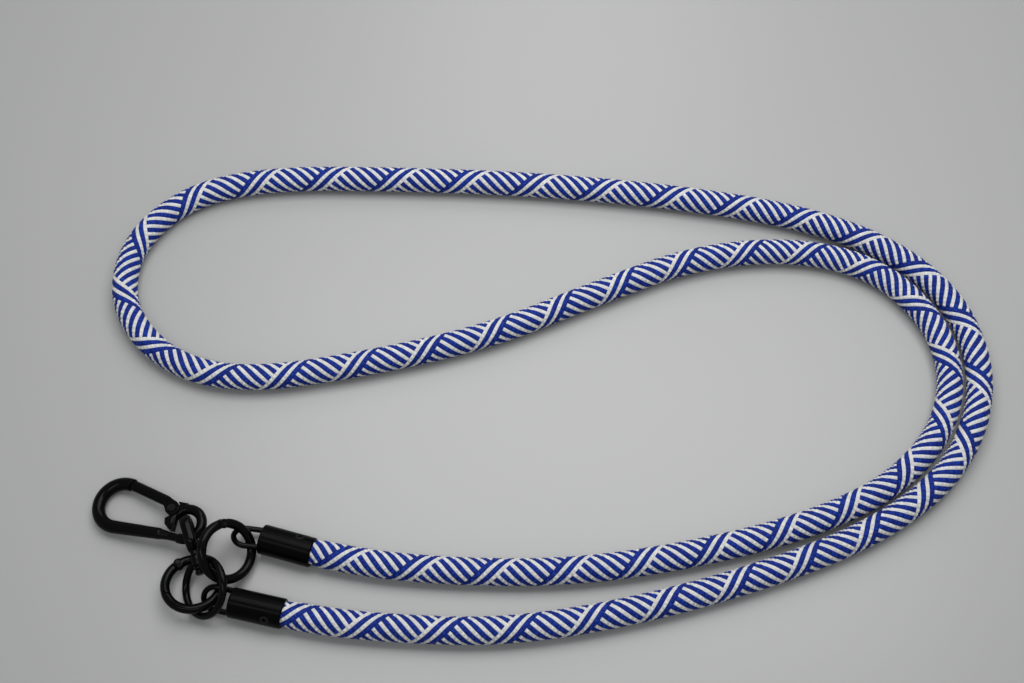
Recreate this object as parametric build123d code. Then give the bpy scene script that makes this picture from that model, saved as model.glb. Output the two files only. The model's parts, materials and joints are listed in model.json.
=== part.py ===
from build123d import *
import os
from math import cos, hypot, pi, radians, sin, tan

# Braided rope strap with two end caps, two spring-gate rings and a swivel snap hook.
# Millimetres. +Z is up, and the strap lies on the plane z = 0.
# The origin is under the middle of the metal fittings, which all lie at the -X end.

# ---- rope -------------------------------------------------------------------
ROPE_DIAMETER = 10.0
CORE_DIAMETER = 6.8            # filler yarns inside the braided sleeve
ROPE_IN_CAP_DIAMETER = 9.2     # the braid is squeezed where the cap grips it
ROPE_INSERT = 15.0             # how far the rope goes into each cap

# Corners of the rope's route, from the upper cap to the lower one.
ROUTE = [
    (26.5, 3.1, 5.5), (52, -4, 5.5), (93, -8, 5), (137, -8, 5), (182, -1, 5), (224, 10, 5),
    (258.5, 26.5, 5), (281.5, 53.5, 5), (284.5, 86.5, 5), (264.5, 116, 5), (231.5, 127.5, 5),
    (188, 124, 5), (146, 106.5, 5), (105, 88, 5), (58, 76, 5), (9, 68, 5), (-22, 77, 5),
    (-42, 101, 5), (-41, 130, 5), (-20, 153, 5), (14, 161.5, 5), (68, 161, 5), (124, 158.5, 5),
    (184, 152, 5), (235, 142, 5), (270, 125.5, 5), (291.5, 100.5, 5), (296.5, 66, 5),
    (281.5, 33, 5), (251, 9, 5), (208, -8.5, 5), (158, -22.5, 5), (112, -30, 5), (74, -29, 5),
    (42, -26, 5.5), (18, -20.5, 5.5),
]
ARC_SHARE = 0.45               # how much of the shorter run each arc takes

# ---- end caps, their screws and wire eyes -------------------------------------
CAP_DIAMETER = 11.0
CAP_LENGTH = 19.8
CAP_EDGE = 0.6
CAP_HEIGHT = 5.5               # height of a cap's axis: it lies on the surface
SCREW_DIAMETER = 3.4
SCREW_FROM_MOUTH = 5.6
SCREW_LENGTH = 1.6
SCREW_SUNK = 0.1               # below the cap's surface
SCREW_SOCKET = 1.5             # hexagon socket, across flats
SOCKET_DEPTH = 0.9
EYE_WIRE = 2.1
EYE_HALF_WIDTH = 4.4           # wire centre to cap axis
EYE_STRAIGHT = 5.8
EYE_INSERT = 2.6
EYE_FOOT_BEND = 3.0            # radius of the small bend at the end wall

# mouth: centre of the open end; heading: from the mouth to the closed end, in plan;
# roll turns the eye's plane about the cap, yaw and pitch bend the eye off the cap's axis,
# and screw is the screw's place round the cap, as an angle from its near side
CAPS = {
    "a": dict(mouth=(40.94, -0.91), heading=164.34, roll=27.2, yaw=12.3, pitch=11.3, screw=129.0),
    "b": dict(mouth=(32.02, -23.64), heading=167.27, roll=-38.0, yaw=-0.5, pitch=-0.8, screw=34.0),
}

# ---- spring-gate rings --------------------------------------------------------
RING_RADIUS = 10.05            # to the centre of the wire
RING_WIRE = 3.5
GATE_SPAN = 76.0               # angle from the gate's pin to its free end
LUG_RADIUS = 1.75
RING_LUG_HEIGHT = 3.2
RING_BORE_DEPTH = 3.4
RING_SLOT = 1.24
RING_TONGUE = 1.0
RING_PIN = 1.5
GAP = 0.25                     # between a gate's free end and its seat
SPRING_BORE = 1.4
PLUNGER_DIAMETER = 1.16
PLUNGER_LENGTH = 1.1
RING_SPRING_RADIUS = 0.42      # to the centre of the spring's wire
RING_SPRING_WIRE = 0.22
RING_TONGUE_RADIUS = 1.4       # the gate's eye round its pin
RIVET_PROUD = 0.15             # how far each rivet stands out of its lug

# pin: where the gate's pin is, as an angle round the ring from its own X direction
RINGS = {
    "a": dict(centre=(10.54, -1.88, 10.32), normal=(0.634, -0.212, 0.744), pin=102.5),
    "b": dict(centre=(-1.57, -12.47, 5.17), normal=(0.044, 0.196, 0.980), pin=129.0),
}

# ---- swivel -------------------------------------------------------------------
SWIVEL_CENTRE = (3.21, -14.57, 8.08)
SWIVEL_NORMAL = (-0.613, -0.244, 0.752)
SWIVEL_RING_RADIUS = 10.2
SWIVEL_RING_WIRE = 2.7
SWIVEL_HEADING = 110.0         # of the post, in plan
BARREL_DIAMETER = 4.4
BARREL_LENGTH = 4.1
POST_DIAMETER = 2.0
POST_CLEARANCE = 0.05
POST_TAIL = 3.1                # how far the post reaches inside the ring, from the barrel's end
PEENED_HEAD_RADIUS = 1.7
WASHER_RADIUS = 1.65
WASHER_THICKNESS = 0.95
COLLAR_RADIUS = 1.75
SHOULDER_RADIUS = 1.5          # between the collar and the loop
LOOP_WIRE = 2.4                # in the loop's own plane
LOOP_WIDTH = 4.2               # across it
LOOP_HALF_HEIGHT = 3.6
LOOP_START = 4.7               # near and far ends of the loop's centre line, from the barrel
LOOP_END = 16.9

# ---- snap hook ----------------------------------------------------------------
HOOK_EYE = (-5.72, 9.26, 7.70)     # centre of the hook's eye
HOOK_HEADING = -18.2               # of the hook's own X, from its bow to its eye
HOOK_SLOPE = 8.26                  # the bow lies on the surface and the eye is held up
EYE_RING_RADIUS = 5.8
EYE_RING_WIRE = 3.8
BOW_CENTRE = (-27.8, 0.2)
BOW_RADIUS = 8.6
BOW_WIRE = 4.9
HOOK_PIN_AT = (-7.3, 4.1)
HOOK_PIN = 2.8
NOSE_AT = (-26.6, 8.8)             # where the gate meets the nose
GATE_THICKNESS = 4.1
CHEEK_RADIUS = 2.75
CHEEK_HEIGHT = 4.0
ARM_END = 4.3                      # the arm narrows from the bow's wire to this
NECK_DIAMETER = 3.0
HEEL_THICKNESS = 3.4
TONGUE_RADIUS = 2.2
HOOK_TONGUE = 1.8
HOOK_SLOT = 2.0
HOOK_BORE = 1.9                    # for the spring, along the gate
HOOK_BORE_DEPTH = 7.0
HOOK_SPRING_RADIUS = 0.62
HOOK_SPRING_WIRE = 0.3
ARM_FOOT = (-8.2, -6.05, 0)        # where the straight arm ends and the thin neck begins
NECK_START = (-9.0, -6.1, 0)
NECK_MIDDLE = (-4.4, -5.95, 0)
NECK_END = (0.6, -5.787, 0)        # on the eye's ring
BAR_ROOT = (-10.4, 6.35, 0)         # where the gate's round bar meets its cheeks


UPRIGHT = (Align.CENTER, Align.CENTER, Align.MIN)


def vec(p):
    return Vector(*p)


def rod(p, q, r0, r1=None):
    """A round bar from p to q, which may taper."""
    p, q = Vector(*p), Vector(*q)
    axis = q - p
    place = Plane(origin=p, z_dir=axis).location
    if r1 is None or abs(r1 - r0) < 1e-6:
        return place * Cylinder(r0, axis.length, align=UPRIGHT)
    return place * Cone(r0, r1, axis.length, align=UPRIGHT)


def ball(p, r):
    return Pos(*p) * Sphere(r)


def ring_arc(radius, wire, start, sweep_angle):
    """A stretch of a round ring of wire about Z."""
    return Rot(0, 0, start) * Torus(radius, wire / 2, major_angle=sweep_angle, align=None)


def wedge(start, end, reach, height):
    """A pie slice about Z from one angle to another, less than a half turn."""
    middle = (start + end) / 2
    far = reach / cos(radians((end - start) / 2)) * 1.2
    corners = [(0, 0)]
    for angle in (start, middle, end):
        corners.append((far * cos(radians(angle)), far * sin(radians(angle))))
    return extrude(make_face(Polyline(*corners, close=True)), amount=height / 2, both=True)


def plate(corners, thickness):
    return extrude(make_face(Polyline(*corners, close=True)), amount=thickness / 2, both=True)


def coil(p, q, radius, wire, turns):
    """A small compression spring between two points."""
    p, q = Vector(*p), Vector(*q)
    height = (q - p).length
    path = Helix(pitch=height / turns, height=height, radius=radius)
    section = Plane(origin=path @ 0, z_dir=path % 0) * Circle(wire / 2)
    return Plane(origin=p, z_dir=q - p).location * sweep(section, path=path)


# ---- rope ---------------------------------------------------------------------
def arc_radii(points):
    """Each corner's arc: 0.45 of its shorter run over the tangent of half its turn."""
    radii = []
    for before, here, after in zip(points, points[1:], points[2:]):
        one, two = vec(here) - vec(before), vec(after) - vec(here)
        turn = radians(one.get_angle(two))
        radii.append(ARC_SHARE * min(one.length, two.length) / tan(turn / 2))
    return radii


def rope():
    radii = arc_radii(ROUTE)
    path = FilletPolyline(*ROUTE, radius=radii)
    start = Plane(origin=path @ 0, z_dir=path % 0)
    outer = sweep(start * Circle(ROPE_DIAMETER / 2), path=path)
    core = sweep(start * Circle(CORE_DIAMETER / 2), path=path)
    print("rope length", round(path.length, 1), "smallest arc", round(min(radii), 1))
    print("arcs", [round(r) for r in radii])
    area = pi * (ROPE_DIAMETER / 2) ** 2
    print("tube volume over section times length", round(outer.volume / (area * path.length), 5))
    sleeve = outer - core
    squeeze = Cylinder(ROPE_DIAMETER / 2 + 1, ROPE_INSERT)
    squeeze -= Cylinder(ROPE_IN_CAP_DIAMETER / 2, ROPE_INSERT)
    for cap in CAPS.values():
        sleeve -= cap_place(cap) * Pos(0, 0, ROPE_INSERT / 2) * squeeze
    for cap in CAPS.values():
        sleeve -= cap_place(cap) * screw_blank(cap)
    return sleeve, core


# ---- end caps -----------------------------------------------------------------
def cap_place(cap):
    """A cap's frame: origin at its mouth, Z to its closed end, X to the near side, Y up."""
    angle = radians(cap["heading"])
    along = Vector(cos(angle), sin(angle), 0)
    near_side = Vector(0, 0, 1).cross(along)
    return Plane(origin=(*cap["mouth"], CAP_HEIGHT), x_dir=near_side, z_dir=along).location


def screw_place(cap, radius):
    """On the cap's side, at a radius from its axis, with Z pointing straight out."""
    return Pos(0, 0, SCREW_FROM_MOUTH) * Rot(0, 0, cap["screw"]) * Pos(radius, 0, 0) * Rot(0, 90, 0)


def screw_blank(cap):
    """The screw's body, from just inside the rope to just under the cap's surface."""
    inner = CAP_DIAMETER / 2 - SCREW_SUNK - SCREW_LENGTH
    return screw_place(cap, inner) * Cylinder(SCREW_DIAMETER / 2, SCREW_LENGTH, align=UPRIGHT)


def screw_hole(cap):
    """The hole in the cap's side, right out through the surface."""
    inner = CAP_DIAMETER / 2 - SCREW_SUNK - SCREW_LENGTH
    return screw_place(cap, inner) * Cylinder(SCREW_DIAMETER / 2, SCREW_LENGTH + 1, align=UPRIGHT)


def screw(cap):
    outer = CAP_DIAMETER / 2 - SCREW_SUNK
    socket = extrude(RegularPolygon(SCREW_SOCKET / 2, 6, major_radius=False), amount=SOCKET_DEPTH * 2)
    return screw_blank(cap) - screw_place(cap, outer - SOCKET_DEPTH) * socket


def eye_feet(cap):
    """Where the eye's two legs leave the cap's end wall."""
    roll = radians(cap["roll"])
    side = Vector(cos(roll), sin(roll), 0)
    end = Vector(0, 0, CAP_LENGTH)
    return [end + side * EYE_HALF_WIDTH, end - side * EYE_HALF_WIDTH]


def eye_legs(cap):
    """The two straight ends that sit in the cap's end wall."""
    return [rod(foot - Vector(0, 0, EYE_INSERT), foot, EYE_WIRE / 2) for foot in eye_feet(cap)]


def wire_eye(cap):
    """A U of wire, bent a little off the cap's axis where it leaves the cap."""
    near, far = eye_feet(cap)
    axis = Vector(tan(radians(cap["yaw"])), tan(radians(cap["pitch"])), 1).normalized()
    side = (near - far).normalized()
    across = (side - axis * side.dot(axis)).normalized() * EYE_HALF_WIDTH
    top = Vector(0, 0, CAP_LENGTH) + axis * (EYE_STRAIGHT + EYE_HALF_WIDTH)
    down = Vector(0, 0, EYE_INSERT)
    corners = [near - down, near, top + across, top - across, far, far - down]
    bow_bend = EYE_HALF_WIDTH * 0.995
    path = FilletPolyline(*corners, radius=[EYE_FOOT_BEND, bow_bend, bow_bend, EYE_FOOT_BEND])
    return sweep(Plane(origin=path @ 0, z_dir=path % 0) * Circle(EYE_WIRE / 2), path=path)


def end_cap(cap):
    blank = Cylinder(CAP_DIAMETER / 2, CAP_LENGTH, align=UPRIGHT)
    shell = fillet(blank.edges().filter_by(GeomType.CIRCLE), CAP_EDGE)
    shell -= Cylinder(ROPE_IN_CAP_DIAMETER / 2, ROPE_INSERT, align=UPRIGHT)
    shell -= screw_hole(cap)
    for leg in eye_legs(cap):
        shell -= leg
    return shell


# ---- spring-gate rings ----------------------------------------------------------
# In a ring's own frame the ring lies in the XY plane and its gate's pin is at (radius, 0).
def around(angle):
    return Vector(RING_RADIUS * cos(radians(angle)), RING_RADIUS * sin(radians(angle)), 0)


def bore_point(distance):
    """A point on the spring bore's line, which runs into the wire from beside the pin."""
    start, end = around(-10), around(-29)
    return start + (end - start).normalized() * distance


def gate_reach():
    """From the pin to the gate's free end, in a straight line."""
    return 2 * RING_RADIUS * sin(radians(GATE_SPAN / 2))


def at_pin(shape):
    return Pos(RING_RADIUS, 0, 0) * shape


def ring_bore():
    return rod(bore_point(0), bore_point(RING_BORE_DEPTH), SPRING_BORE / 2)


def ring_frame():
    wire = Torus(RING_RADIUS, RING_WIRE / 2)
    mouth = wedge(0, GATE_SPAN + 14, RING_RADIUS * 2, RING_WIRE * 2)
    mouth &= at_pin(Cylinder(gate_reach() + GAP, RING_WIRE * 2))
    lug = at_pin(Cylinder(LUG_RADIUS, RING_LUG_HEIGHT))
    frame = wire - mouth + lug
    slot = Pos(RING_RADIUS, 1.4, 0) * Box(2 * LUG_RADIUS + 1.5, 7.4, RING_SLOT)
    frame -= slot
    frame -= at_pin(Cylinder(RING_PIN / 2, RING_WIRE * 2))
    return frame - ring_bore()


def ring_gate():
    wire = Torus(RING_RADIUS, RING_WIRE / 2)
    span = wedge(0, GATE_SPAN + 14, RING_RADIUS * 2, RING_WIRE * 2)
    span &= at_pin(Cylinder(gate_reach(), RING_WIRE * 2) - Cylinder(LUG_RADIUS + GAP, RING_WIRE * 2))
    tongue = at_pin(Cylinder(RING_TONGUE_RADIUS, RING_TONGUE))
    tongue += Pos(RING_RADIUS - 0.1, 1.5, 0) * Box(2.2, 3.0, RING_TONGUE)
    gate = (wire & span) + tongue
    return gate - at_pin(Cylinder(RING_PIN / 2 + POST_CLEARANCE, RING_WIRE * 2))


def ring_pin():
    return at_pin(Cylinder(RING_PIN / 2, RING_LUG_HEIGHT + 2 * RIVET_PROUD))


def ring_plunger():
    start = 0.1
    return rod(bore_point(start), bore_point(start + PLUNGER_LENGTH), PLUNGER_DIAMETER / 2)


def ring_spring():
    start, end = bore_point(1.35), bore_point(RING_BORE_DEPTH - 0.15)
    return coil(start, end, RING_SPRING_RADIUS, RING_SPRING_WIRE, 5)


def ring_place(ring):
    normal = vec(ring["normal"]).normalized()
    level = (Vector(1, 0, 0) - normal * normal.X).normalized()
    return Plane(origin=ring["centre"], x_dir=level, z_dir=normal).location * Rot(0, 0, ring["pin"])


# ---- swivel ---------------------------------------------------------------------
# In the swivel's own frame the origin is the middle of the barrel, X runs out along the post
# and Z is square to the ring.
def swivel_place():
    normal = vec(SWIVEL_NORMAL).normalized()
    flat = Vector(cos(radians(SWIVEL_HEADING)), sin(radians(SWIVEL_HEADING)), 0)
    post = (flat - Vector(0, 0, normal.dot(flat) / normal.Z)).normalized()
    barrel = vec(SWIVEL_CENTRE) + post * SWIVEL_RING_RADIUS
    return Plane(origin=barrel, x_dir=post, z_dir=normal).location


def loop_place():
    """The loop stands on edge: its frame has the same origin and X, and Y straight up."""
    post = swivel_post()
    level = Vector(0, 0, 1).cross(post).normalized()
    return Plane(origin=swivel_place().position, x_dir=post, z_dir=-level).location


def swivel_post():
    return (swivel_place() * Pos(1, 0, 0)).position - swivel_place().position


def turned(x0, x1, r):
    """A round step on the X axis."""
    return rod((x0, 0, 0), (x1, 0, 0), r)


def swivel_ring():
    ring = Pos(-SWIVEL_RING_RADIUS, 0, 0) * Torus(SWIVEL_RING_RADIUS, SWIVEL_RING_WIRE / 2)
    barrel = turned(-BARREL_LENGTH / 2, BARREL_LENGTH / 2, BARREL_DIAMETER / 2)
    barrel = chamfer(barrel.edges().filter_by(GeomType.CIRCLE), 0.3)
    bore = turned(-BARREL_LENGTH, BARREL_LENGTH, POST_DIAMETER / 2 + POST_CLEARANCE)
    return ring + barrel - bore


def swivel_loop():
    """Loop, collar, post and peened head: one turned and bent piece."""
    near, far = LOOP_START + LOOP_HALF_HEIGHT, LOOP_END - LOOP_HALF_HEIGHT
    h = LOOP_HALF_HEIGHT
    path = Line((near, h), (far, h))
    path += ThreePointArc((far, h), (LOOP_END, 0), (far, -h))
    path += Line((far, -h), (near, -h))
    path += ThreePointArc((near, -h), (LOOP_START, 0), (near, h))
    start = Plane(origin=(near, h, 0), x_dir=(0, 1, 0), z_dir=(1, 0, 0))
    loop = sweep(start * Ellipse(LOOP_WIRE / 2, LOOP_WIDTH / 2), path=path)
    half = BARREL_LENGTH / 2
    body = turned(-half - POST_TAIL, LOOP_START, POST_DIAMETER / 2)
    body += turned(half + 0.3, half + 1.6, COLLAR_RADIUS)
    body += turned(half + 1.9, LOOP_START, SHOULDER_RADIUS)
    head = turned(-half - POST_TAIL, -half - 1.5, PEENED_HEAD_RADIUS)
    body += fillet(head.edges().filter_by(GeomType.CIRCLE), 0.5)
    return loop + body


def swivel_washer():
    half = BARREL_LENGTH / 2
    outer = -half - 0.25
    washer = turned(outer - WASHER_THICKNESS, outer, WASHER_RADIUS)
    return washer - turned(-half - 2, -half, POST_DIAMETER / 2)


# ---- snap hook ------------------------------------------------------------------
# In the hook's own frame the origin is the middle of its eye, X runs from the bow to the eye,
# and the gate is on the +Y side.
def hook_place():
    slope, heading = radians(HOOK_SLOPE), radians(HOOK_HEADING)
    x = Vector(cos(heading) * cos(slope), sin(heading) * cos(slope), sin(slope))
    y = Vector(-sin(heading), cos(heading), 0)
    return Plane(origin=HOOK_EYE, x_dir=x, z_dir=x.cross(y)).location


def bow_point(angle):
    x = BOW_CENTRE[0] + BOW_RADIUS * cos(radians(angle))
    y = BOW_CENTRE[1] + BOW_RADIUS * sin(radians(angle))
    return (x, y, 0)


def hook_reach():
    return hypot(NOSE_AT[0] - HOOK_PIN_AT[0], NOSE_AT[1] - HOOK_PIN_AT[1])


def at_hook_pin(shape):
    return Pos(*HOOK_PIN_AT, 0) * shape


def hook_body():
    """Bow, arm, thin neck, eye and the heel that carries the gate's pin."""
    start, root = 80, 277
    bow = Pos(*BOW_CENTRE, 0) * ring_arc(BOW_RADIUS, BOW_WIRE, start, root - start)
    # the arm and the neck overlap a little where they meet at a small angle
    body = bow + rod(bow_point(root), ARM_FOOT, BOW_WIRE / 2, ARM_END / 2)
    body += rod(NECK_START, NECK_MIDDLE, ARM_END / 2, NECK_DIAMETER / 2)
    body += rod(NECK_MIDDLE, NECK_END, NECK_DIAMETER / 2)
    body += ring_arc(EYE_RING_RADIUS, EYE_RING_WIRE, 262, 294)
    heel = plate([(-7.6, -2.4), (-5.2, -3.9), (-3.7, -3.5), (-4.6, 2.5), (-7.0, 1.2), (-8.4, -0.3)], HEEL_THICKNESS)
    heel += plate([(-5.9, 7.1), (-2.0, 7.4), (-3.0, 4.6), (-4.9, 3.2)], HEEL_THICKNESS)
    body += heel
    body -= at_hook_pin(Cylinder(CHEEK_RADIUS + GAP, BOW_WIRE * 2))
    body += plate([(-8.0, 6.0), (-3.6, 5.2), (-4.6, 0.5), (-7.6, 0.6)], HOOK_TONGUE)
    body += at_hook_pin(Cylinder(TONGUE_RADIUS, HOOK_TONGUE))
    nose_cut = Pos(-25, 9.5, 0) * Box(9, 7, 9)
    nose_cut &= at_hook_pin(Cylinder(hook_reach() + GAP, BOW_WIRE * 2))
    body -= nose_cut
    return body - at_hook_pin(Cylinder(HOOK_PIN / 2, BOW_WIRE * 2))


def gate_line():
    """The middle of the gate's round bar: from its free end to where its cheeks start."""
    return Vector(NOSE_AT[0] - 0.6, NOSE_AT[1] + 0.1, 0), Vector(*BAR_ROOT)


def hook_gate():
    tip, root = gate_line()
    bar = rod(tip, root, GATE_THICKNESS / 2) & at_hook_pin(Cylinder(hook_reach(), BOW_WIRE * 2))
    cheeks = at_hook_pin(Cylinder(CHEEK_RADIUS, CHEEK_HEIGHT))
    cheeks += plate([(-11.2, 8.1), (-6.6, 6.8), (-9.2, 2.2), (-11.2, 4.4)], CHEEK_HEIGHT)
    gate = bar + ball(root, GATE_THICKNESS / 2) + cheeks
    gate -= at_hook_pin(Box(7.4, 9, HOOK_SLOT))
    gate -= hook_bore()
    return gate - at_hook_pin(Cylinder(HOOK_PIN / 2 + POST_CLEARANCE, BOW_WIRE * 2))


def along_gate(distance):
    """A point on the gate bar's line, measured from the end of its cheeks towards its free end."""
    tip, root = gate_line()
    return root + (tip - root).normalized() * distance


def hook_bore():
    """The spring's bore, straight into the gate's bar from its slot."""
    return rod(along_gate(-0.5), along_gate(HOOK_BORE_DEPTH), HOOK_BORE / 2)


def hook_pin():
    return at_hook_pin(Cylinder(HOOK_PIN / 2, CHEEK_HEIGHT + 2 * RIVET_PROUD))


def hook_plunger():
    return rod(along_gate(-1.25), along_gate(1.8), HOOK_BORE / 2 - POST_CLEARANCE)


def hook_spring():
    start, end = along_gate(2), along_gate(HOOK_BORE_DEPTH - 0.2)
    return coil(start, end, HOOK_SPRING_RADIUS, HOOK_SPRING_WIRE, 7)


# ---- assembly -------------------------------------------------------------------
sleeve, core = rope()
nodes = {"rope_sleeve": sleeve, "rope_core": core}
for name, cap in CAPS.items():
    place = cap_place(cap)
    nodes[f"end_cap_{name}"] = place * end_cap(cap)
    nodes[f"cap_screw_{name}"] = place * screw(cap)
    nodes[f"wire_eye_{name}"] = place * wire_eye(cap)
for name, ring in RINGS.items():
    place = ring_place(ring)
    nodes[f"ring_{name}_frame"] = place * ring_frame()
    nodes[f"ring_{name}_gate"] = place * ring_gate()
    nodes[f"ring_{name}_pin"] = place * ring_pin()
    nodes[f"ring_{name}_plunger"] = place * ring_plunger()
    nodes[f"ring_{name}_spring"] = place * ring_spring()
nodes["swivel_ring"] = swivel_place() * swivel_ring()
nodes["swivel_washer"] = swivel_place() * swivel_washer()
nodes["swivel_loop"] = loop_place() * swivel_loop()
hook = hook_place()
nodes["hook_body"] = hook * hook_body()
nodes["hook_gate"] = hook * hook_gate()
nodes["hook_pin"] = hook * hook_pin()
nodes["hook_plunger"] = hook * hook_plunger()
nodes["hook_spring"] = hook * hook_spring()

os.makedirs("parts", exist_ok=True)
for name, shape in nodes.items():
    export_step(shape, f"parts/{name}.step")
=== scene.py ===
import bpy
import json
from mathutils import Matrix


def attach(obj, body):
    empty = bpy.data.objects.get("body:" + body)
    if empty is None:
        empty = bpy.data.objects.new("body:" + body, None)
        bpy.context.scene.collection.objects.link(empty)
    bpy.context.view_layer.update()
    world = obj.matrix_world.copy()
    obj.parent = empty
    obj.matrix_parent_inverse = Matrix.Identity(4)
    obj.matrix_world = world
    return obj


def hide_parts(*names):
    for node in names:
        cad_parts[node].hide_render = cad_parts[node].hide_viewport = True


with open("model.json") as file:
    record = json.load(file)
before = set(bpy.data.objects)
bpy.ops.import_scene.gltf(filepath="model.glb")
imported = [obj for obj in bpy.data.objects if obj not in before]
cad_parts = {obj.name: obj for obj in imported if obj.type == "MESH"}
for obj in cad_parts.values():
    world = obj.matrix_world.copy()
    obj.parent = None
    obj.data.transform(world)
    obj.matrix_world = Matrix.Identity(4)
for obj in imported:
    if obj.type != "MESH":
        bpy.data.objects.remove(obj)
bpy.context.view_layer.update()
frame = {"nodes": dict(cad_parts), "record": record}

import json
from math import cos, pi, radians, sin

import bmesh
import bpy
import numpy as np
from mathutils import Vector

MM = 0.001
scene = bpy.context.scene


# ---- camera ---------------------------------------------------------------------
CAMERA_TARGET = (0.1135, 0.0855, 0.005)
CAMERA_PITCH = radians(63.4)     # below the horizon
CAMERA_DISTANCE = 0.553          # from the target, in metres
SENSOR_WIDTH = 36                # in millimetres, as is the lens
LENS = 49.57


def make_camera():
    """Above the near edge of the surface, looking down at the whole strap."""
    data = bpy.data.cameras.new("camera")
    data.sensor_width = SENSOR_WIDTH
    data.lens = LENS
    data.clip_start, data.clip_end = 0.01, 10
    camera = bpy.data.objects.new("camera", data)
    scene.collection.objects.link(camera)
    backwards = Vector((0, -cos(CAMERA_PITCH), sin(CAMERA_PITCH)))
    camera.location = Vector(CAMERA_TARGET) + backwards * CAMERA_DISTANCE
    camera.rotation_euler = (pi / 2 - CAMERA_PITCH, 0, 0)
    scene.camera = camera


make_camera()


# ---- rope route -------------------------------------------------------------------
CORE_DIAMETER = 6.8 * MM
ROUTE_RESOLUTION = 48            # points between two corners of the route
CORE_RESOLUTION = 6              # the same for the filler core
CORE_ROUNDNESS = 3               # bevel resolution of the core's section
# corners of the rope's route in metres, from inside the upper cap to inside the lower one
ROUTE = [
    (0.0265, 0.0031, 0.0055), (0.052, -0.004, 0.0055), (0.093, -0.008, 0.005), (0.137, -0.008, 0.005),
    (0.182, -0.001, 0.005), (0.224, 0.010, 0.005), (0.2585, 0.0265, 0.005), (0.2815, 0.0535, 0.005),
    (0.2845, 0.0865, 0.005), (0.2645, 0.116, 0.005), (0.2315, 0.1275, 0.005), (0.188, 0.124, 0.005),
    (0.146, 0.1065, 0.005), (0.105, 0.088, 0.005), (0.058, 0.076, 0.005), (0.009, 0.068, 0.005),
    (-0.022, 0.077, 0.005), (-0.042, 0.101, 0.005), (-0.041, 0.130, 0.005), (-0.020, 0.153, 0.005),
    (0.014, 0.1615, 0.005), (0.068, 0.161, 0.005), (0.124, 0.1585, 0.005), (0.184, 0.152, 0.005),
    (0.235, 0.142, 0.005), (0.270, 0.1255, 0.005), (0.2915, 0.1005, 0.005), (0.2965, 0.066, 0.005),
    (0.2815, 0.033, 0.005), (0.251, 0.009, 0.005), (0.208, -0.0085, 0.005), (0.158, -0.0225, 0.005),
    (0.112, -0.030, 0.005), (0.074, -0.029, 0.005), (0.042, -0.026, 0.0055), (0.018, -0.0205, 0.0055),
]


def nurbs(name, corners, resolution):
    """A curve object with one NURBS spline that has these corners as its control points."""
    data = bpy.data.curves.new(name, "CURVE")
    data.dimensions = "3D"
    spline = data.splines.new("NURBS")
    spline.points.add(len(corners) - 1)
    for point, corner in zip(spline.points, corners):
        point.co = (*corner, 1)
    spline.order_u = 3
    spline.use_endpoint_u = True
    spline.resolution_u = resolution
    curve = bpy.data.objects.new(name, data)
    scene.collection.objects.link(curve)
    return curve


def smooth_line(corners):
    """Points along the NURBS curve of these corners."""
    helper = nurbs("route", corners, ROUTE_RESOLUTION)
    depsgraph = bpy.context.evaluated_depsgraph_get()
    mesh = bpy.data.meshes.new_from_object(helper.evaluated_get(depsgraph))
    points = [v.co.copy() for v in mesh.vertices]
    bpy.data.objects.remove(helper)
    bpy.data.meshes.remove(mesh)
    return points


class Line:
    """A line's points, with the distance along it and the direction at each of them."""

    def __init__(self, points):
        self.points = points
        self.at = [0.0]
        for a, b in zip(points, points[1:]):
            self.at.append(self.at[-1] + (b - a).length)
        self.length = self.at[-1]
        self.tangents = []
        last = len(points) - 1
        for i in range(len(points)):
            self.tangents.append((points[min(i + 1, last)] - points[max(i - 1, 0)]).normalized())


route = Line(smooth_line(ROUTE))


# ---- braided rope -----------------------------------------------------------------
# The sleeve is a 24-carrier braid, 12 yarns wound each way. Each crossing is one raised cell that
# shows the yarn on top. A cell's corner (p, q) lies where yarn edge p of one set crosses yarn
# edge q of the other: p = YARNS * (pitches along + turns round) and q = YARNS * (pitches along -
# turns round).
YARNS = 12                       # each way
PITCH = 27.0 * MM                # length of rope in which a yarn goes once round
# Use has made the sleeve creep and twist, so its pattern lies off its even pitch: pairs of the
# distance along the rope and how far the pattern is shifted there, in millimetres.
CREEP = [(0, -4), (150, -4), (250, -6), (330, -8), (400, -13.5), (600, -12.5), (700, -9),
         (860, 0), (950, 3), (1030, 0), (1110, 1.5), (1200, 0), (1400, -1)]
CREEP_BLEND = 40 * MM            # over which one shift turns into the next
CREEP_SAMPLES = 2000             # points along the rope at which the blended shift is worked out
BLUE_EXTRA = 0.16                # of a cell, by which blue yarns are wider than white ones
BAND = 4                         # crossing yarns that break the stripes
ROOT_RADIUS = 4.52 * MM          # between the yarns
CROWN_RADIUS = 5.03 * MM         # at the middle of each cell
MOUTH_RADIUS = 4.52 * MM         # where a cap squeezes the rope
CAP_DEPTH = 15 * MM              # of rope inside each cap
TAPER = 4 * MM                   # from the cap's mouth to the full radius
LIFT = 0.012 * MM                # by which cells stand out unevenly
SEED = 7
# three shades of each yarn, then a darker painted shade for its flanks where it dives under the next
# one, standing in for the shadow in that crease
ROPE_BLUES = [(0.0010, 0.0220, 0.250), (0.0014, 0.0280, 0.290),
              (0.0007, 0.0170, 0.210), (0.0006, 0.0110, 0.130)]
ROPE_WHITES = [(0.66, 0.66, 0.645), (0.71, 0.71, 0.69), (0.61, 0.61, 0.60), (0.57, 0.57, 0.57)]


def stripe_colours(p, q):
    """For each cell: 1 where it shows off-white yarn, 0 where blue, and which set is on top."""
    p_on_top = (p + q) % 2 == 0
    in_band = q % YARNS < BAND
    q_yarn = np.where(in_band, q % 2, (q + 1) % 2)
    return np.where(p_on_top, p % 2, q_yarn), p_on_top


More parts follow.
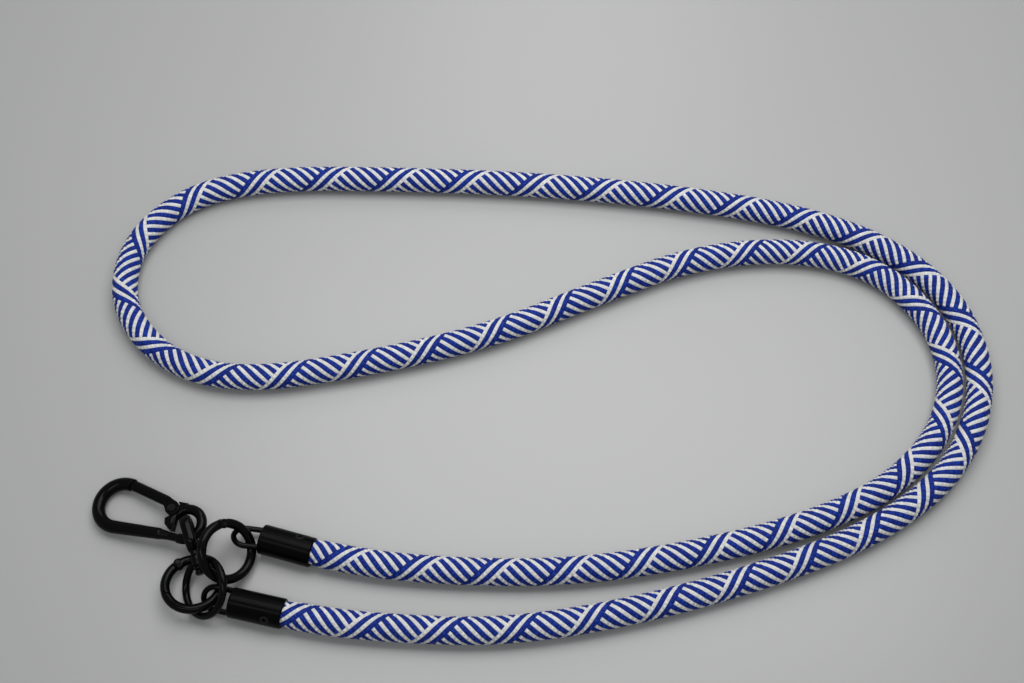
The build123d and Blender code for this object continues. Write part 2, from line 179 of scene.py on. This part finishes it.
def rope_radius(along, length, crown):
    """The sleeve is squeezed a little where it goes into each cap."""
    from_mouth = np.minimum(along, length - along) - CAP_DEPTH
    full = np.clip(from_mouth / TAPER, 0, 1)
    full = full * full * (3 - 2 * full)
    return crown - (CROWN_RADIUS - MOUTH_RADIUS) * (1 - full)


def crept(line, even):
    """Where along the rope the pattern lies that an even braid would have at this distance."""
    at, shift = np.array(CREEP).T * MM
    along = np.linspace(0, line.length, CREEP_SAMPLES)
    step = along[1]
    window = np.hanning(int(CREEP_BLEND / step) | 1)
    padding = len(window) // 2
    shifts = np.pad(np.interp(along, at, shift), padding, mode="edge")
    shifts = np.convolve(shifts, window / window.sum(), "valid")
    return np.interp(even, along - shifts, along)


def widened(p, q):
    """Moves the yarn edges apart on each side of a blue yarn, in the stripes and in the band."""
    half = BLUE_EXTRA / 2
    half_band = BAND / 2
    # 1 inside the band, 0 from half a half-band outside it
    in_band = np.clip(3 - 2 * abs(q % YARNS - half_band) / half_band, 0, 1)
    return p - half * np.cos(np.pi * p), q - half * np.cos(np.pi * q) * in_band


def on_rope(line, p, q, crown):
    """Points on the sleeve's surface at lattice places (p, q), at a radius below or at its crown."""
    p, q = widened(p, q)
    along = crept(line, PITCH * (p + q) / (2 * YARNS))
    turn = 2 * np.pi * (p - q) / (2 * YARNS)
    radius = rope_radius(along, line.length, crown)
    place = np.array([np.interp(along, line.at, [v[k] for v in line.points]) for k in range(3)]).T
    tangent = np.array([np.interp(along, line.at, [v[k] for v in line.tangents]) for k in range(3)]).T
    tangent /= np.linalg.norm(tangent, axis=1)[:, None]
    left = np.stack([-tangent[:, 1], tangent[:, 0], np.zeros(len(tangent))], axis=1)
    left /= np.linalg.norm(left, axis=1)[:, None]
    up = np.cross(tangent, left)
    points = place + radius[:, None] * (np.cos(turn)[:, None] * up + np.sin(turn)[:, None] * left)
    points[:, 2] = np.maximum(points[:, 2], 0)
    return points


# a cell's points are its 4 corners, 4 more set in from them and 1 in the middle
CELL_CORNERS = [(0, 0), (1, 0), (1, 1), (0, 1)]
CELL_FACES = [(1, 0, 4, 5), (2, 1, 5, 6), (3, 2, 6, 7), (0, 3, 7, 4),
              (5, 4, 8), (6, 5, 8), (7, 6, 8), (4, 7, 8)]
SHOULDER_RADIUS = 4.97 * MM      # at the 4 points that are set in
ACROSS_INSET = 0.18              # of a cell, from the yarn's edges
ALONG_INSET = 0.27               # of a cell, from where the yarn dives under the next
NEXT_YARN_GRAIN = 1.37           # shift of the filaments' texture from one yarn to the next


def braid(line):
    """The sleeve as one mesh, with a material slot for each shade of yarn and one for the painted
    shade where the yarns dive under.
    """
    rows = int(line.length / PITCH * 2 * YARNS)
    row, column = np.divmod(np.arange((rows + 1) * YARNS), YARNS)
    p = (row + 2 * column + row % 2) // 2
    q = row - p
    vertices = [on_rope(line, p, q, ROOT_RADIUS)]
    p, q = p[row < rows - 1], q[row < rows - 1]
    count = len(p)
    white, p_on_top = stripe_colours(p, q)
    rng = np.random.default_rng(SEED)
    lift = rng.normal(0, LIFT, count)

    spots, indices = [], []
    for a, b in CELL_CORNERS:
        row = p + a + q + b
        spots.append((np.full(count, a), np.full(count, b)))
        indices.append(row * YARNS + (p + a - q - b - row % 2) // 2 % YARNS)
    p_inset = np.where(p_on_top, ACROSS_INSET, ALONG_INSET)
    q_inset = np.where(p_on_top, ALONG_INSET, ACROSS_INSET)
    for a, b in CELL_CORNERS:
        spots.append((abs(a - p_inset), abs(b - q_inset)))
    spots.append((np.full(count, 0.5), np.full(count, 0.5)))
    for k, (dp, dq) in enumerate(spots[4:]):
        crown = SHOULDER_RADIUS if k < 4 else CROWN_RADIUS
        indices.append(sum(len(v) for v in vertices) + np.arange(count))
        vertices.append(on_rope(line, p + dp, q + dq, crown + lift))

    faces, uvs = [], []
    for corners in CELL_FACES:
        faces += np.stack([indices[k] for k in corners], axis=1).tolist()
        # along and across the yarn on top, in yarn widths, so that its filaments run with it
        uv = np.zeros((count, len(corners), 2))
        for n, k in enumerate(corners):
            dp, dq = spots[k]
            uv[:, n, 0] = np.where(p_on_top, q + dq, p + dp)
            uv[:, n, 1] = np.where(p_on_top, dp + NEXT_YARN_GRAIN * p, dq + NEXT_YARN_GRAIN * q)
        uvs.append(uv.reshape(-1))
    mesh = bpy.data.meshes.new("rope")
    mesh.from_pydata(np.concatenate(vertices).tolist(), [], faces)
    shades = len(ROPE_BLUES)
    shade = rng.integers(0, shades - 1, count)
    # a cell's faces 0 and 2 are at the ends of the yarn on top where that is a p yarn, else 1 and 3;
    # these flanks get the last colour, a painted shade where the yarn dives under
    painted_dive_shade = [np.where(p_on_top == (k % 2 == 0), shades - 1, shade) for k in range(4)]
    slots = np.concatenate([white * shades + part for part in painted_dive_shade + [shade] * 4])
    mesh.polygons.foreach_set("material_index", slots.astype(np.int32))
    mesh.uv_layers.new(name="yarn").data.foreach_set("uv", np.concatenate(uvs))
    mesh.shade_smooth()

    # both ends are closed, hidden in the caps
    ends = bmesh.new()
    ends.from_mesh(mesh)
    bmesh.ops.holes_fill(ends, edges=[e for e in ends.edges if e.is_boundary])
    ends.to_mesh(mesh)
    ends.free()
    return mesh


# ---- materials ----------------------------------------------------------------------
class Material:
    """A material and its Principled shader, with the few nodes that the looks here are made of."""

    def __init__(self, name, colour=(0.8, 0.8, 0.8), specular=0.5):
        self.data = bpy.data.materials.new(name)
        self.data.use_nodes = True
        self.nodes = self.data.node_tree.nodes
        self.inputs = self.nodes["Principled BSDF"].inputs
        self.inputs["Base Color"].default_value = (*colour, 1)
        self.inputs["Specular IOR Level"].default_value = specular

    def link(self, output, socket):
        self.data.node_tree.links.new(output, socket)

    def noise(self, scale, detail=2.0, vector=None):
        """The factor of a noise texture, 0 to 1."""
        texture = self.nodes.new("ShaderNodeTexNoise")
        texture.inputs["Scale"].default_value = scale
        texture.inputs["Detail"].default_value = detail
        if vector:
            self.link(vector, texture.inputs["Vector"])
        return texture.outputs["Fac"]

    def spread(self, factor, low, high, name):
        """The shader's input of this name runs from low to high with the factor."""
        spread = self.nodes.new("ShaderNodeMapRange")
        spread.inputs["To Min"].default_value = low
        spread.inputs["To Max"].default_value = high
        self.link(factor, spread.inputs["Value"])
        self.link(spread.outputs["Result"], self.inputs[name])

    def bump(self, height, distance, strength):
        bump = self.nodes.new("ShaderNodeBump")
        bump.inputs["Strength"].default_value = strength
        bump.inputs["Distance"].default_value = distance
        self.link(height, bump.inputs["Height"])
        self.link(bump.outputs["Normal"], self.inputs["Normal"])


FILAMENT_SCALE = (1.1, 13, 1)    # along the yarn, across it
FILLER_SCALE = 1500
GRAIN_SCALE = 900
WEAR_SCALE = 160
WORN_SHADES = (0.75, 1.4)        # darkest and lightest, times the colour
WORN_ROUGHNESS = (-0.08, 0.10)   # smoothest and roughest, added to the roughness


def yarn_material(name, colour):
    """Polyester yarn: fine filaments along each yarn, with a soft sheen."""
    material = Material(name, colour, specular=0.20)
    material.inputs["Sheen Weight"].default_value = 0.05
    material.inputs["Sheen Roughness"].default_value = 0.45
    place = material.nodes.new("ShaderNodeUVMap")
    place.uv_map = "yarn"
    stretch = material.nodes.new("ShaderNodeMapping")
    stretch.inputs["Scale"].default_value = FILAMENT_SCALE
    material.link(place.outputs["UV"], stretch.inputs["Vector"])
    filaments = material.noise(1.0, detail=3.0, vector=stretch.outputs["Vector"])
    material.spread(filaments, 0.50, 0.85, "Roughness")
    material.bump(filaments, 0.08 * MM, strength=0.5)
    return material.data


def filler_material():
    """Loose white filler yarn inside the sleeve."""
    material = Material("filler_yarn")
    material.inputs["Roughness"].default_value = 0.9
    fibres = material.noise(FILLER_SCALE)
    material.spread(fibres, 0.55, 0.85, "Base Color")
    material.bump(fibres, 0.15 * MM, strength=0.5)
    return material.data


def enamel_material(name, colour, rough, gloss=0.15):
    """Satin paint or bare metal: a faint orange-peel surface, with worn darker and lighter spots."""
    material = Material(name, specular=gloss)
    place = material.nodes.new("ShaderNodeTexCoord").outputs["Object"]
    grain = material.noise(GRAIN_SCALE, vector=place)
    wear = material.noise(WEAR_SCALE, detail=5.0, vector=place)
    shades = material.nodes.new("ShaderNodeMix")
    shades.data_type = "RGBA"
    for socket, shade in zip("AB", WORN_SHADES):
        shades.inputs[socket].default_value = (*[shade * c for c in colour], 1)
    material.link(wear, shades.inputs["Factor"])
    material.link(shades.outputs["Result"], material.inputs["Base Color"])
    smoothest, roughest = WORN_ROUGHNESS
    material.spread(wear, rough + smoothest, rough + roughest, "Roughness")
    material.bump(grain, 0.03 * MM, strength=0.25)
    return material.data


rope = bpy.data.objects.new("rope_braid", braid(route))
scene.collection.objects.link(rope)
# the last blue and the last white are painted shade, darker for the yarns' flanks where they dive
# under
for k, colour in enumerate(ROPE_BLUES):
    rope.data.materials.append(yarn_material(f"yarn_blue_{k}", colour))
for k, colour in enumerate(ROPE_WHITES):
    rope.data.materials.append(yarn_material(f"yarn_white_{k}", colour))
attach(rope, "strap")
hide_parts("rope_sleeve")

core = nurbs("rope_filler", ROUTE, CORE_RESOLUTION)
core.data.bevel_depth = CORE_DIAMETER / 2
core.data.bevel_resolution = CORE_ROUNDNESS
core.data.use_fill_caps = True
core.data.materials.append(filler_material())
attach(core, "strap")
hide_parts("rope_core")


# ---- metal --------------------------------------------------------------------------
enamel = enamel_material("black_enamel", (0.0014, 0.0014, 0.0015), rough=0.14, gloss=0.09)
cap_paint = enamel_material("black_cap_paint", (0.0013, 0.0013, 0.0014), rough=0.25, gloss=0.045)
steel = enamel_material("blackened_steel", (0.005, 0.005, 0.0053), rough=0.32)
spring_wire = enamel_material("spring_wire", (0.14, 0.14, 0.15), rough=0.30)
spring_wire.node_tree.nodes["Principled BSDF"].inputs["Metallic"].default_value = 1.0

VOXEL = 0.16 * MM                # of the copies of castings
SMOOTHING_PASSES = 4
BODY_OF = {}
for body, nodes in frame["record"]["behaviour"]["bodies"].items():
    for node in nodes:
        BODY_OF[node] = body
SLOT_OF = {part["node"]: part["material_slot"] for part in frame["record"]["subparts"]}


def soften(name):
    """Puts in the CAD node's place a copy with its edges rounded over, as on a painted casting."""
    piece = bpy.data.objects.new(f"{name}_cast", frame["nodes"][name].data.copy())
    scene.collection.objects.link(piece)
    remesh = piece.modifiers.new("remesh", "REMESH")
    remesh.mode = "VOXEL"
    remesh.voxel_size = VOXEL
    smooth = piece.modifiers.new("smooth", "SMOOTH")
    smooth.factor = 0.5
    smooth.iterations = SMOOTHING_PASSES
    depsgraph = bpy.context.evaluated_depsgraph_get()
    mesh = bpy.data.meshes.new_from_object(piece.evaluated_get(depsgraph))
    piece.modifiers.clear()
    piece.data = mesh
    mesh.shade_smooth()
    mesh.materials.clear()
    mesh.materials.append(enamel)
    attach(piece, BODY_OF[name])
    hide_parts(name)


CAST = ["hook_body", "hook_gate", "ring_a_frame", "ring_a_gate", "ring_b_frame", "ring_b_gate",
        "swivel_loop", "swivel_ring", "swivel_washer"]
for name in CAST:
    soften(name)
for name, node in frame["nodes"].items():
    if name in CAST or name.startswith("rope"):
        continue
    material = {"black_paint": enamel, "spring_steel": spring_wire}.get(SLOT_OF[name], steel)
    if name.startswith("end_cap"):
        material = cap_paint
    node.data.materials.clear()
    node.data.materials.append(material)


# ---- floor and light ----------------------------------------------------------------
FLOOR_HALF = 12.0                # in metres
FLOOR_COLOUR = (0.375, 0.375, 0.37)
WORLD_COLOUR = (0.80, 0.82, 0.84)
WORLD_STRENGTH = 0.43


def make_floor():
    """A plain pale floor under the strap."""
    data = bpy.data.meshes.new("floor")
    corners = [(x * FLOOR_HALF, y * FLOOR_HALF, 0) for x, y in [(-1, -1), (1, -1), (1, 1), (-1, 1)]]
    data.from_pydata(corners, [], [(0, 1, 2, 3)])
    floor = bpy.data.objects.new("floor", data)
    scene.collection.objects.link(floor)
    material = Material("floor", FLOOR_COLOUR)
    material.inputs["Roughness"].default_value = 0.36
    data.materials.append(material.data)


def area_light(name, location, target, size, power):
    """A rectangle of light in metres and watts, turned towards its target."""
    data = bpy.data.lights.new(name, "AREA")
    data.shape = "RECTANGLE"
    data.size, data.size_y = size
    data.energy = power
    light = bpy.data.objects.new(name, data)
    light.location = location
    light.rotation_euler = (Vector(target) - Vector(location)).to_track_quat("-Z", "Y").to_euler()
    scene.collection.objects.link(light)


make_floor()
area_light("main", (0.165, 0.21, 0.50), target=(0.16, 0.14, 0), size=(0.52, 0.34), power=2.15)
area_light("back", (0.16, 0.64, 0.50), target=(0.16, 0.15, 0), size=(0.26, 0.26), power=0.6)
area_light("front", (-0.06, -0.22, 0.58), target=(0.02, 0.02, 0), size=(0.50, 0.03), power=0.55)
scene.view_settings.view_transform = "Standard"
world = bpy.data.worlds.new("world")
world.use_nodes = True
background = world.node_tree.nodes["Background"].inputs
background["Color"].default_value = (*WORLD_COLOUR, 1)
background["Strength"].default_value = WORLD_STRENGTH
scene.world = world
